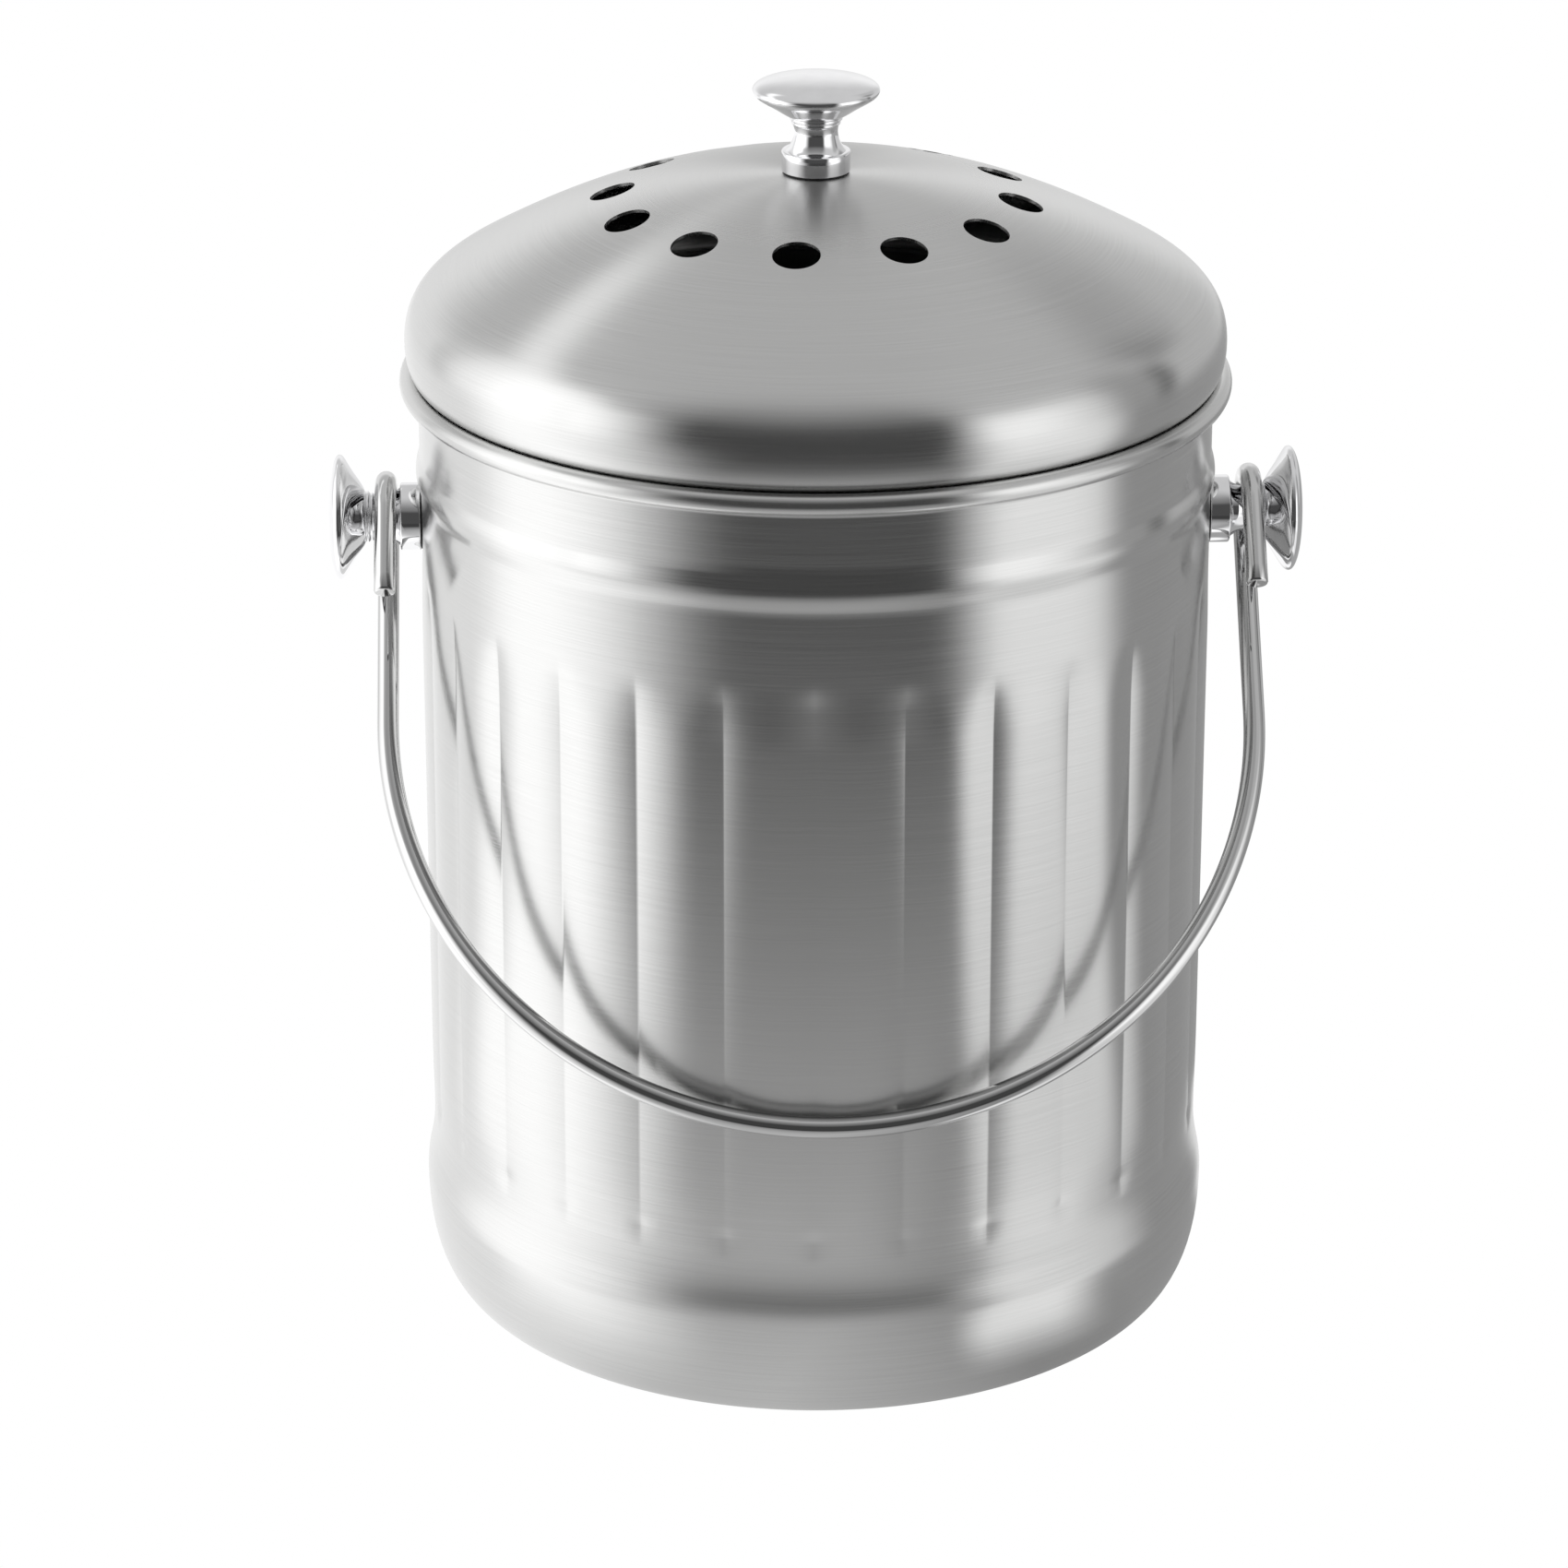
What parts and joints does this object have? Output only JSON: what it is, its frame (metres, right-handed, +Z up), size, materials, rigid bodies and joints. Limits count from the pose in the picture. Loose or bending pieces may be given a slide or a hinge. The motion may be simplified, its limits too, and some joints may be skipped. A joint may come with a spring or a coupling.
{
  "type": "compost caddy",
  "caption": "Round brushed-steel kitchen compost pail with fluted walls, a lift-off domed and vented lid with a filter, mushroom knobs and a swinging wire bail.",
  "frame": {"origin": "on the surface that the pail stands on, under the middle of the pail", "axes": "+X along the bail's hinge axis towards the right knob, +Y towards the back, +Z up; the bail rests against the front"},
  "size_m": [0.2246, 0.1914, 0.2925],
  "materials": {
    "brushed_steel": "fine brushing round the body, satin",
    "plain_steel": "plain mill finish",
    "polished_wire": "polished drawn wire",
    "chrome_plate": "mirror chrome",
    "gasket_rubber": "matt black",
    "black_plastic": "fine satin",
    "charcoal_felt": "matt fibrous pad"
  },
  "bodies": {
    "pail": {"pail_body": "brushed_steel", "left_knob": "chrome_plate", "left_knob_gasket": "gasket_rubber", "left_knob_washer": "plain_steel", "left_knob_screw": "plain_steel", "right_knob": "chrome_plate", "right_knob_gasket": "gasket_rubber", "right_knob_washer": "plain_steel", "right_knob_screw": "plain_steel"},
    "lid": {"lid_dome": "brushed_steel", "lid_skirt": "plain_steel", "lid_knob": "chrome_plate", "lid_knob_gasket": "gasket_rubber", "lid_knob_washer": "plain_steel", "lid_knob_screw": "plain_steel"},
    "filter": {"filter_tray": "black_plastic", "charcoal_filter": "charcoal_felt"},
    "bail": {"bail_handle": "polished_wire"}
  },
  "joints": [
    {"name": "lid_lift", "type": "slide", "parent": "pail", "child": "lid", "axis": [0, 0, 1], "range_m": [0, 0.12]},
    {"name": "bail_swing", "type": "hinge", "parent": "pail", "child": "bail", "pos_m": [0, 0, 0.1893], "axis": [-1, 0, 0], "range_deg": [0, 280.3]},
    {"name": "filter_pull", "type": "slide", "parent": "lid", "child": "filter", "axis": [0, 0, -1], "range_m": [0, 0.0095]}
  ]
}
